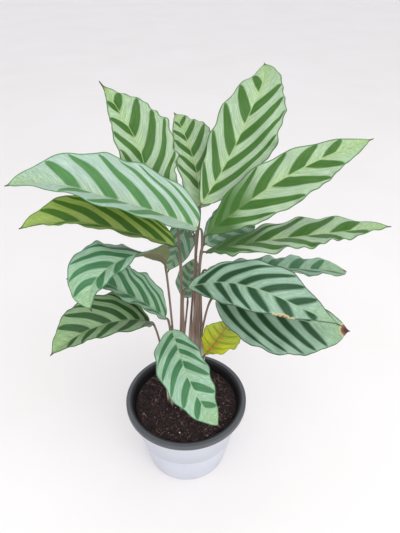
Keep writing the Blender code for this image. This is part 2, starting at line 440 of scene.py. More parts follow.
@dataclass(frozen=True)
class StalkSkin(Finish):
    """The skin of a calathea stalk: waxy, purple-brown and finely ribbed, over a pale papery sheath."""

    sheath: str
    stalk: str
    neck: str = "#5d5a42"
    soiled: str = "#42352d"  # where the sheath comes out of the soil
    roughness: float = 0.42
    ior: float = 1.45  # plant cuticle
    rib_spacing: float = 0.12  # share of the turn between the fine ribs

    def shading(self, add: Adder) -> Shading:
        """Feed the shader: soiled foot, sheath, stalk and neck, ribbed lengthwise.

        Args:
            add: adds one node to the material's tree.

        Returns:
            The shader's values and links.
        """
        marks = ("along", "around")
        along, around = (add("Attribute", {"attribute_name": mark}, out="Fac") for mark in marks)
        lengthwise = add("CombineXYZ", links={0: around, 1: along})
        streaks = add("TexNoise", {"Scale": 1 / self.rib_spacing, "Detail": 4.0}, {"Vector": lengthwise})
        shifted = add("Math", {"operation": "MULTIPLY_ADD", 1: 0.16, 2: -0.08}, {0: streaks})
        height = add("Math", {"operation": "ADD"}, {0: along, 1: shifted})
        stops = (
            (0.14, self.soiled), (0.22, self.sheath), (0.36, self.sheath),
            (0.5, self.stalk), (0.88, self.stalk), (0.97, self.neck),
        )
        colour = add("ValToRGB", ramp(stops), {0: height})
        dark = add("MapRange", {1: 0.35, 2: 0.62, 3: 0.62, 4: 1.15}, {0: streaks})
        ribbed = add("Mix", {**RGBA, "blend_type": "MULTIPLY", 0: 1.0}, {6: colour, 7: dark}, 2)
        bump = add("Bump", {"Strength": 0.5, "Distance": 0.15 * MM}, {"Height": streaks})
        return {"Roughness": self.roughness, "IOR": self.ior}, {"Base Color": ribbed, "Normal": bump}


class Tint(Enum):
    """The greens of one leaf: pale ground, its shade, stripe, its shade, midrib and underside."""

    SILVER = ("#a9c09f", "#95ad88", "#467329", "#3b6523", "#a8c282", "#75805a")
    FROSTED = ("#adc2b2", "#9ab39f", "#55894b", "#477c40", "#adc39b", "#7f8a6c")
    COOL = ("#98b89c", "#86a88b", "#467c4e", "#3a6d44", "#9ebc96", "#757b54")
    OLIVE = ("#a4bb5c", "#8fa748", "#4d7d1c", "#406f14", "#bed276", "#666a4a")
    SHADED = ("#8ca87e", "#7a966c", "#2f5a27", "#274e20", "#96b07e", "#606a50")
    DEEP = ("#98b49c", "#7e9e87", "#24502b", "#1a4022", "#98b392", "#5a6655")
    FAINT = ("#93b09a", "#819e88", "#648a6b", "#587d5f", "#9bb496", "#6f795a")
    YELLOWING = ("#b2bb1a", "#c4bd20", "#86a31e", "#76941c", "#98552a", "#8c8a3c")


@dataclass(frozen=True)
class Markings:
    """Where one leaf's dark stripes lie, as shares of the midrib from which each stripe's vein leaves."""

    minus: tuple[float, ...] = (0.1, 0.27, 0.44, 0.61, 0.78)
    plus: tuple[float, ...] = (0.1, 0.27, 0.44, 0.61, 0.78)
    reach: Pair = (0.28, 0.28)  # how far towards the tip the veins run, for each half
    duty: float = 0.0  # raises or lowers the share of the blade that is dark
    soft: float = 0.09  # how gradually a band fades at its edge
    tint: Tint = Tint.SILVER
    shaded_base: float = 0.0  # mm of the blade's base that are dark all over: painted shade
    scorch: tuple[tuple[float, float, float], ...] = ()  # share along, share across and radius in mm


@dataclass(frozen=True)
class BladeCuticle(Finish):
    """The upper skin of a calathea blade: a waxy cuticle over silvery ground with feathered dark bands."""

    markings: Markings
    roughness: float = 0.44
    ior: float = 1.45  # plant cuticle
    drip: float = 5.0  # mm of dry, thread-like tip
    gloss: float = 0.32
    sheen: float = 0.05  # the silver bloom that shows at grazing angles
    translucency: float = 0.15  # light that passes through the thin blade
    vein_spacing: float = 2.6  # mm; real side veins lie about 1 mm apart, drawn coarse enough to show
    vein_start: float = -0.4  # lowest share that the stripe ramps cover
    feather: float = 0.34  # how ragged a band's edge is
    measures: tuple[str, ...] = (
        "vein", "vein_mm", "column", "rib_mm", "edge_mm", "base_mm", "tip_mm", "scorch_mm", "cutoff",
    )
    tip_green: str = "#86a860"
    dry_tip: str = "#4a3d2c"
    scorched: Stops = ((0.2, "#4a2d28"), (0.6, "#7a5440"), (0.8, "#b8a478"), (1.0, "#d2c9a4"))

    def ramp_stops(self, centres: tuple[float, ...]) -> list[tuple[float, Colour]]:
        """Place a ramp's stops: bright at each band's centre and black halfway between two bands.

        Args:
            centres: shares of the midrib at the bands' centres.

        Returns:
            The ramp's stops.
        """
        first_gap, last_gap = centres[1] - centres[0], centres[-1] - centres[-2]
        lows = [centres[0] - first_gap / 2]
        lows += [(a + b) / 2 for a, b in zip(centres[:-1], centres[1:])]
        lows.append(centres[-1] + last_gap / 2)
        marks = [(low, 0.0) for low in lows] + [(centre, 1.0) for centre in centres]
        span = 1.0 - self.vein_start
        stops = [((at - self.vein_start) / span, level) for at, level in sorted(marks)]
        return [(min(max(at, 0.0), 1.0), (level, level, level, 1.0)) for at, level in stops]

    def shading(self, add: Adder) -> Shading:
        """Feed the shader: ground, bands, veins, midrib, margin, painted shade at the base, dried patches and
        dry tip.

        Args:
            add: adds one node to the material's tree.

        Returns:
            The shader's values and links.
        """
        marks = self.markings
        pale, pale_shade, band, band_shade, midrib, _ = (linear(c) for c in marks.tint.value)
        # a paler ground colour for the painted highlight streaks
        bright = tuple(min(1.0, 1.4 * c) for c in pale[:3]) + (1.0,)
        read = {mark: add("Attribute", {"attribute_name": mark}, out="Fac") for mark in self.measures}
        place = add("TexCoord", out="Object")

        # the bands, from one ramp for each half, frayed along the veins
        vein_place = add("MapRange", {1: self.vein_start, 2: 1.0}, {0: read["vein"]})
        minus, plus = (
            add("ValToRGB", {"stops": self.ramp_stops(half)}, {0: vein_place})
            for half in (marks.minus, marks.plus)
        )
        plus_side = add("Math", {"operation": "GREATER_THAN", 1: 0.0}, {0: read["column"]})
        bands = add("Mix", {"data_type": "FLOAT"}, {0: plus_side, 2: minus, 3: plus})
        outwards = add("Math", {"operation": "MULTIPLY", 1: 3.5}, {0: read["column"]})
        along_veins = add("CombineXYZ", links={0: read["vein_mm"], 1: outwards})
        fibres = add("TexNoise", {"Scale": 0.7, "Detail": 5.0, "Roughness": 0.7}, {"Vector": along_veins})
        fray = {"operation": "MULTIPLY_ADD", 1: self.feather, 2: -self.feather / 2}
        uneven = add("Math", {"operation": "ADD"}, {0: bands, 1: add("Math", fray, {0: fibres})})
        over = add("Math", {"operation": "SUBTRACT"}, {0: uneven, 1: read["cutoff"]})
        fade = {"interpolation_type": "SMOOTHSTEP", 1: -marks.soft - marks.duty, 2: marks.soft - marks.duty}
        banded = add("MapRange", fade, {0: over})

        # the ground: cloudy, warmer by the midrib, greener by the tip, with whitish streaks of painted
        # highlight
        cloud = add("TexNoise", {"Scale": 1 / (18 * MM), "Detail": 3.0}, {"Vector": place})
        ground = add("Mix", {**RGBA, 6: pale, 7: pale_shade}, {0: cloud}, 2)
        warmed = laid_over(add, ground, read["rib_mm"], (0.5, 9.0, 0.55, 0.0), midrib)
        greened = laid_over(add, warmed, read["tip_mm"], (4.0, 34.0, 0.45, 0.0), linear(self.tip_green))
        # painted highlights: whitish streaks that follow the veins
        fine = add("TexNoise", {"Scale": 1.5, "Detail": 4.0, "Roughness": 0.65}, {"Vector": along_veins})
        highlight_streaked = laid_over(add, greened, fine, (0.5, 0.66, 0.0, 0.6), bright)
        dark = add("Mix", {**RGBA, 6: band, 7: band_shade}, {0: cloud}, 2)
        striped = add("Mix", RGBA, {0: banded, 6: highlight_streaked, 7: dark}, 2)

        # side veins and fibres, then the midrib, the margin and the painted shade at the base
        rate = {"operation": "MULTIPLY", 1: TURN / self.vein_spacing}
        veins = add("Math", {"operation": "SINE"}, {0: add("Math", rate, {0: read["vein_mm"]})})
        vein_tone = add("MapRange", {1: -1.0, 2: 1.0, 3: 0.94, 4: 1.05}, {0: veins})
        streak_tone = add("MapRange", {1: 0.33, 2: 0.67, 3: 0.68, 4: 1.18}, {0: fibres})
        tone = add("Math", {"operation": "MULTIPLY"}, {0: vein_tone, 1: streak_tone})
        skin = add("Mix", {**RGBA, "blend_type": "MULTIPLY", 0: 1.0}, {6: striped, 7: tone}, 2)
        for measure, span, colour in (
            ("rib_mm", (0.2, 0.75, 0.5, 0.0), midrib),
            ("edge_mm", (0.25, 1.3, 0.9, 0.0), band_shade),
            # painted shade darkens the blade's base
            ("base_mm", (0.5 * marks.shaded_base, marks.shaded_base + 0.1, 0.85, 0.0), band_shade),
        ):
            skin = laid_over(add, skin, read[measure], span, colour, "SMOOTHSTEP")

        # scorched patches, darker inwards, and the dry tip
        patchy = add("TexNoise", {"Scale": 1 / (3 * MM), "Detail": 4.0}, {"Vector": place})
        reach = add("Math", {"operation": "MULTIPLY_ADD", 1: 2.0, 2: -1.0}, {0: patchy})
        dry_place = add("Math", {"operation": "ADD"}, {0: read["scorch_mm"], 1: reach})
        dry = add("MapRange", {1: 0.0, 2: 0.8, 3: 1.0, 4: 0.0}, {0: dry_place})
        depth = add("MapRange", {1: -6.0, 2: 1.0}, {0: dry_place})
        dry_colour = add("ValToRGB", ramp(self.scorched), {0: depth})
        dried = add("Mix", RGBA, {0: dry, 6: skin, 7: dry_colour}, 2)
        thread = (0.3 * self.drip, 0.9 * self.drip, 0.9, 0.0)
        tipped = laid_over(add, dried, read["tip_mm"], thread, linear(self.dry_tip))

        relief = add("Math", {"operation": "MULTIPLY_ADD", 1: 0.5}, {0: veins, 2: fibres})
        bump = add("Bump", {"Strength": 0.35, "Distance": 0.2 * MM}, {"Height": relief})
        rough = add("MapRange", {3: self.roughness - 0.06, 4: self.roughness + 0.08}, {0: fibres})
        values = {
            "IOR": self.ior, "Specular IOR Level": self.gloss,
            "Subsurface Weight": self.translucency, "Subsurface Radius": (0.5 * MM, 1.0 * MM, 0.3 * MM),
            "Subsurface Scale": 1.0, "Sheen Weight": self.sheen, "Sheen Roughness": 0.4,
        }
        return values, {"Base Color": tipped, "Roughness": rough, "Normal": bump}


@dataclass(frozen=True)
class BladeUnderside(Finish):
    """The lower skin of a blade: dull green with raised paler veins and a brown midrib."""

    tint: Tint
    roughness: float = 0.62
    ior: float = 1.45  # plant cuticle
    vein_spacing: float = 2.6  # mm, as on the upper side
    midrib: str = "#6d5a48"

    def shading(self, add: Adder) -> Shading:
        """Feed the shader: cloudy skin, side veins and the midrib.

        Args:
            add: adds one node to the material's tree.

        Returns:
            The shader's values and links.
        """
        base = linear(self.tint.value[5])
        darker = tuple(0.72 * c for c in base[:3]) + (1.0,)
        vein, rib = (add("Attribute", {"attribute_name": mark}, out="Fac") for mark in ("vein_mm", "rib_mm"))
        place = add("TexCoord", out="Object")
        cloud = add("TexNoise", {"Scale": 1 / (9 * MM), "Detail": 4.0}, {"Vector": place})
        skin = add("Mix", {**RGBA, 6: base, 7: darker}, {0: cloud}, 2)
        rate = {"operation": "MULTIPLY", 1: TURN / self.vein_spacing}
        veins = add("Math", {"operation": "SINE"}, {0: add("Math", rate, {0: vein})})
        tone = add("MapRange", {1: -1.0, 2: 1.0, 3: 0.9, 4: 1.1}, {0: veins})
        veined = add("Mix", {**RGBA, "blend_type": "MULTIPLY", 0: 1.0}, {6: skin, 7: tone}, 2)
        ribbed = laid_over(add, veined, rib, (0.8, 1.8, 0.8, 0.0), linear(self.midrib))
        bump = add("Bump", {"Strength": 0.4, "Distance": 0.2 * MM}, {"Height": veins})
        return {"Roughness": self.roughness, "IOR": self.ior}, {"Base Color": ribbed, "Normal": bump}


@dataclass(frozen=True)
class MattPaint(Finish):
    """Matt floor paint: pale, warm and very slightly cloudy from the roller."""

    name: str = "matt_paint"
    colour: str = "#f3efec"
    shade: str = "#ece5e1"
    roughness: float = 0.7

    def shading(self, add: Adder) -> Shading:
        """Feed the shader: two close shades in broad clouds.

        Args:
            add: adds one node to the material's tree.

        Returns:
            The shader's values and links.
        """
        place = add("TexCoord", out="Object")
        cloud = add("TexNoise", {"Scale": 4.0, "Detail": 3.0}, {"Vector": place})
        paint = add("Mix", {**RGBA, 6: linear(self.colour), 7: linear(self.shade)}, {0: cloud}, 2)
        return {"Roughness": self.roughness}, {"Base Color": paint}


# ---- leaves


@dataclass
class Leaf:
    """One calathea leaf: a stalk that rises from the soil and a blade folded along its midrib."""

    name: str
    foot: Pair  # x and y of the stalk in the soil
    midrib: tuple[Point, ...]  # points from the blade's base to its tip
    face: Pair  # azimuth and elevation that the upper side looks to
    width: float
    fold: float  # each half is raised this far from flat, as a V
    markings: Markings
    widest: float = 0.42  # share of the length
    face_tip: tuple[float, ...] = ()  # the same as face at the tip, where the blade turns over
    wave: float = 2.0  # height of the edge's waves
    waves: float = 5.0
    wave_start: float = 0.0
    lean: float = 0.0  # how much wider one half is
    skew: float = 0.0  # how much further out that half is widest
    ruffle: float = 0.03  # how far the outline itself swings in and out, as a share
    base: float = 0.58  # lower is rounder
    taper: float = 0.95  # higher draws the tip out
    drip: float = 5.0  # mm of thread-like tip
    crimp: Pair = (0.4, 0.4)  # how strongly each edge is scalloped and rippled
    slot: str = "striped_leaf"
    sheath: str = "#dccdb8"
    stalk: str = "#80695a"

    cell: float = 1.15  # mm between rows of the blade's mesh
    least_rows: int = 40
    half_columns: int = 22
    end_crowding: float = 0.3  # share of the rows' spacing that narrows towards both ends
    rib_crowding: float = 1.2  # above 1 the columns crowd towards the midrib
    wave_swell: float = 0.6
    wave_side_shift: float = 0.37
    ruffle_shift: float = 0.25
    scallops: float = 2.7  # fine swings of the outline to each long wave
    scallop_drift: Pair = (0.5, 7)  # how far and how fast they lose step
    frill_drift: Pair = (0.4, 9)  # the same for the short ripples
    thread_narrowing: float = 0.8  # how much of its width the tip's thread has lost
    least_half: float = 0.3  # mm
    tangent_step: float = 0.001
    blade_thickness: float = 0.5
    rib_thickness: float = 2.0
    rib_width: float = 1.0
    rib_taper: float = 0.7  # how fast the rib thins towards the tip
    weight_levels: int = 10  # steps between the blade's thickness and the rib's
    vein_bend: float = 0.4  # how much the side veins curve towards the tip
    bulge: float = 0.9  # each half arches by this much between midrib and edge
    groove: float = 0.35  # the midrib lies this deep in the upper side
    groove_reach: float = 1.1
    trim: float = 0.99  # the crimped margin lies just inside the plain one
    scallop: float = 0.022  # the finest swings of the outline, as a share
    frill: float = 1.1  # height of the short ripples along the very edge
    frills: float = 2.4  # short ripples to each long wave
    quilting: float = 0.2  # height of the ridges between side veins
    quilt_spacing: float = 5.0
    quilt_fade: float = 4.0  # they reach their full height this far from the midrib
    # a place from midrib to edge, and the share of the space between two bands that stays pale there
    cutoff: tuple[Pair, ...] = (
        (0.0, 0.6), (0.06, 0.52), (0.3, 0.46), (0.5, 0.48),
        (0.75, 0.57), (0.9, 0.74), (0.97, 0.95), (1.0, 1.2),
    )
    tip_cutoff: float = 0.3  # how much paler the tip is
    tip_paling: Pair = (0.66, 0.34)  # where that starts and over which share it grows
    minus_base: float = 0.6  # the painted shade at the base reaches further on the minus half
    far_from_dry: float = 99.0  # mm, where a leaf has no dried patch

    collar_z: float = 86.0
    root_steps: int = 4
    foot_z: float = 62.0
    stalk_rise: float = 0.45
    neck_length: float = 8.0
    neck_end: float = 2.5
    joint_reach: float = 1.5  # how far the stalk runs in under the midrib
    sunk: Pair = (0.6, 0.9)  # its depth where it enters the blade and where it ends
    stalk_sides: int = 16
    stalk_steps: int = 56
    sheath_radius: float = 1.8
    stalk_radius: float = 1.1
    neck_radius: float = 1.0
    neck_change: Pair = (0.2, 0.3)  # its radius swells by the first, then ends smaller by the second
    sheath_share: float = 0.4
    sheath_taper: float = 0.15
    slit_depth: float = 0.22  # the sheath's open side, as a share of its radius
    slit_width: float = 0.4  # radians
    slit_fade: float = 0.05  # share of the length over which it closes

    def frames(self, shares: Array) -> tuple[Array, Array, Array, Array]:
        """Find the midrib's points and axes.

        Args:
            shares: shares of the midrib's length.

        Returns:
            Points, the way ahead, the way to the plus edge and the upper side's normal.
        """
        step = self.tangent_step
        points = curve_through(self.midrib, shares)
        ahead = curve_through(self.midrib, np.clip(shares + step, 0, 1))
        behind = curve_through(self.midrib, np.clip(shares - step, 0, 1))
        along = unit(ahead - behind)
        base_face = direction(*self.face)
        tip_face = direction(*(self.face_tip or self.face))
        looks = unit(base_face * (1 - shares[:, None]) + tip_face * shares[:, None])
        across = unit(np.cross(along, looks))
        return points, along, across, np.cross(across, along)

    def edge_turns(self, shares: Array, side: int) -> Array:
        """How many waves of the edge have passed at these shares."""
        return self.waves * shares + self.wave_start + self.wave_side_shift * (side >= 0)

    def half_widths(self, shares: Array, side: int) -> Array:
        """Find half the blade's width: a round base and a drawn-out tip.

        Args:
            shares: shares of the midrib's length.
            side: -1 or 1 for the half.

        Returns:
            The half width at each share, in mm.
        """
        widest = self.widest + self.skew * side
        base = np.sin(math.pi / 2 * np.clip(shares / widest, 0, 1)) ** self.base
        tip = np.cos(math.pi / 2 * np.clip((shares - widest) / (1 - widest), 0, 1)) ** self.taper
        turns = self.edge_turns(shares, side)
        far, fast = self.scallop_drift
        scallops = np.sin(TURN * (self.scallops * turns + far * np.sin(fast * shares)))
        swing = self.ruffle * np.sin(TURN * (turns + self.ruffle_shift))
        swing += self.crimp[side > 0] * self.scallop * scallops
        half = self.trim * self.width / 2 * (1 + self.lean * side) * (1 + swing)
        thread = 1 - self.thread_narrowing * np.exp(-(((1 - shares) * self.length() / self.drip) ** 2))
        return np.maximum(half * np.where(shares < widest, base, tip) * thread, self.least_half)

    def length(self) -> float:
        """The midrib's length in mm."""
        return float(np.linalg.norm(np.diff(np.array(self.midrib, float), axis=0), axis=1).sum())

    def blade_grid(self) -> tuple[Array, Array]:
        """Spread the points of the blade's mesh, closer at both ends and by the midrib.

        Returns:
            Shares along its rows and across its columns.
        """
        s = np.linspace(0, 1, max(self.least_rows, round(self.length() / self.cell)) + 1)
        c = np.linspace(-1, 1, 2 * self.half_columns + 1)
        crowded, share = (1 - np.cos(math.pi * s)) / 2, self.end_crowding
        return (1 - share) * s + share * crowded, np.sign(c) * np.abs(c) ** self.rib_crowding

    def build_blade(self) -> Piece:
        """Build the blade with its fold, waves, veins and markings' measures.

        Returns:
            The blade.
        """
        shares, columns = self.blade_grid()
        points, _, across, up = self.frames(shares)
        length = self.length()
        slope = math.tan(math.radians(self.fold))
        swell = np.sin(math.pi * shares) ** self.wave_swell  # the waves die out at both ends
        far, fast = self.frill_drift
        start, growth = self.tip_paling
        paling = self.tip_cutoff * np.clip((shares - start) / growth, 0, 1) ** 1.5
        surface = np.empty((len(shares), len(columns), 3))
        names = ("vein", "rib_mm", "edge_mm", "column", "cutoff")
        marks = {name: np.empty(surface.shape[:2]) for name in names}
        for j, column in enumerate(columns):
            side, w = (1 if column > 0 else -1), abs(column)
            half = self.half_widths(shares, side)
            rib_mm = half * w
            q = rib_mm / (self.width / 2)
            reach = self.markings.reach[side > 0]
            vein = shares - reach * (q * (1 - self.vein_bend) + self.vein_bend * q**2)
            turns = self.edge_turns(shares, side)
            wave = self.wave * swell * np.sin(TURN * turns)
            frill = np.sin(TURN * (self.frills * turns + far * np.sin(fast * shares)))
            lift = half * slope * w + wave * w**2
            lift += self.crimp[side > 0] * self.frill * swell * frill * w**5
            lift += self.bulge * swell * math.sin(math.pi * w)
            lift -= self.groove * np.exp(-((rib_mm / self.groove_reach) ** 2))
            ridge = np.sin(TURN * vein * length / self.quilt_spacing)
            lift += self.quilting * ridge * np.clip(rib_mm / self.quilt_fade, 0, 1) * (1 - w**4)
            surface[:, j] = points + across * (half * column)[:, None] + up * lift[:, None]
            cutoff = np.interp(w, *zip(*self.cutoff)) + paling
            for grid, values in zip(marks.values(), (vein, rib_mm, half * (1 - w), column, cutoff)):
                grid[:, j] = values
        marks["vein_mm"] = marks["vein"] * length
        marks["base_mm"] = (shares * length)[:, None] * np.where(columns > 0, 1.0, self.minus_base)
        marks["tip_mm"] = np.repeat(((1 - shares) * length)[:, None], len(columns), axis=1)
        marks["scorch_mm"] = self.scorch_distance(surface, shares, columns)
        faces = grid_faces(len(shares), len(columns))
        blade = make_piece(f"leaf_{self.name}", surface.reshape(-1, 3), faces, marks)
        rib = blade.vertex_groups.new(name="rib")
        weights = np.exp(-((marks["rib_mm"] / self.rib_width) ** 2)) * (1 - shares[:, None]) ** self.rib_taper
        for level in range(1, self.weight_levels + 1):
            chosen = np.flatnonzero(np.round(weights.ravel() * self.weight_levels) == level)
            rib.add(chosen.tolist(), level / self.weight_levels, "REPLACE")
        thicken = blade.modifiers.new("thickness", "SOLIDIFY")
        thicken.thickness = self.rib_thickness * MM
        thicken.vertex_group = "rib"
        thicken.thickness_vertex_group = self.blade_thickness / self.rib_thickness
        thicken.offset = -1
        thicken.material_offset = 1
        settle(blade, self.slot, f"blade_{self.name}")
        return blade

    def scorch_distance(self, surface: Array, shares: Array, columns: Array) -> Array:
        """Measure how far each point lies outside the nearest dried patch.

        Args:
            surface: the blade's points.
            shares: shares along of its rows.
            columns: shares across of its columns.

        Returns:
            The distance in mm, negative inside a patch.
        """
        nearest = np.full(surface.shape[:2], self.far_from_dry)
        for along, column, radius in self.markings.scorch:
            i, j = np.argmin(np.abs(shares - along)), np.argmin(np.abs(columns - column))
            nearest = np.minimum(nearest, np.linalg.norm(surface - surface[i, j], axis=2) - radius)
        return nearest

    def stalk_line(self) -> Array:
        """Trace the stalk from its foot in the soil up into the blade's midrib.

        Returns:
            Its centreline in mm.
        """
        base, along, _, up = (axis[0] for axis in self.frames(np.zeros(1)))
        bend = base - along * self.neck_end
        collar = np.array([*self.foot, self.collar_z])
        lower = collar + np.array([0.0, 0.0, (bend[2] - self.collar_z) * self.stalk_rise])
        upper = bend - along * self.neck_length
        u = np.linspace(0, 1, self.stalk_steps)[:, None]
        bent = (1 - u) ** 3 * collar + 3 * u * (1 - u) ** 2 * lower + 3 * u**2 * (1 - u) * upper + u**3 * bend
        below = np.linspace(self.foot_z, self.collar_z, self.root_steps + 1)[:-1]
        rooted = np.array([[*self.foot, z] for z in below])
        enters, ends = self.sunk
        return np.vstack([rooted, bent, base - up * enters, base + along * self.joint_reach - up * ends])

    def build_stalk(self) -> Piece:
        """Build the stalk with its open sheath and the slightly thicker neck.

        Returns:
            The stalk.
        """
        line = self.stalk_line()
        steps = np.linalg.norm(np.diff(line, axis=0), axis=1)
        share = np.concatenate([[0.0], np.cumsum(steps)]) / steps.sum()
        swell, shrink = self.neck_change
        radii = (  # share of the stalk's length and radius there
            (0.0, self.sheath_radius), (self.sheath_share, self.sheath_radius),
            (self.sheath_share + self.sheath_taper, self.stalk_radius),
            (0.9, self.neck_radius), (0.95, self.neck_radius + swell), (1.0, self.neck_radius - shrink),
        )
        radius = np.interp(share, *zip(*radii))
        tangents = unit(np.gradient(line, axis=0))
        side = unit(np.cross(tangents[0], np.array([0.0, 1.0, 0.0])))
        angles = np.linspace(0, TURN, self.stalk_sides, endpoint=False)
        cosines, sines = np.cos(angles), np.sin(angles)
        opening = math.atan2(-self.foot[1], -self.foot[0])
        rings = np.empty((len(line), self.stalk_sides, 3))
        for i, tangent in enumerate(tangents):
            side = unit(side - tangent * (side @ tangent))
            other = np.cross(tangent, side)
            sheathed = float(np.clip((self.sheath_share + self.slit_fade - share[i]) / self.slit_fade, 0, 1))
            turn = (angles - opening + math.pi) % TURN - math.pi
            grown = radius[i] * (1 - self.slit_depth * sheathed * np.exp(-((turn / self.slit_width) ** 2)))
            rings[i] = line[i] + side * (grown * cosines)[:, None] + other * (grown * sines)[:, None]
        flat = rings.reshape(-1, 3)
        faces: list[Sequence[int]] = list(grid_faces(len(line), self.stalk_sides, wrap=True))
        last = (len(line) - 1) * self.stalk_sides
        faces.append(tuple(reversed(range(self.stalk_sides))))
        faces.append(tuple(last + j for j in range(self.stalk_sides)))
        marks_of = {
            "along": np.repeat(share, self.stalk_sides),
            "around": np.tile(np.abs(np.linspace(-1, 1, self.stalk_sides, endpoint=False)), len(line)),
        }
        stalk = make_piece(f"petiole_{self.name}", flat, faces, marks_of)
        settle(stalk, "stalk", f"stalk_{self.name}")
        return stalk

    def build(self) -> list[Piece]:
        """Build and dress the leaf.

        Returns:
            Its blade and stalk.
        """
        blade, stalk = self.build_blade(), self.build_stalk()
        self.dress(blade, stalk)
        return [blade, stalk]

    def dress(self, blade: Piece, stalk: Piece) -> None:
        """Give the blade its upper and lower skins and the stalk its own.

        Args:
            blade: the leaf's blade.
            stalk: its stalk.
        """
        BladeCuticle(f"waxy_blade_{self.name}", self.markings, drip=self.drip).dress(blade)
        BladeUnderside(f"blade_underside_{self.name}", self.markings.tint).dress(blade)
        StalkSkin(f"stalk_skin_{self.name}", self.sheath, self.stalk).dress(stalk)


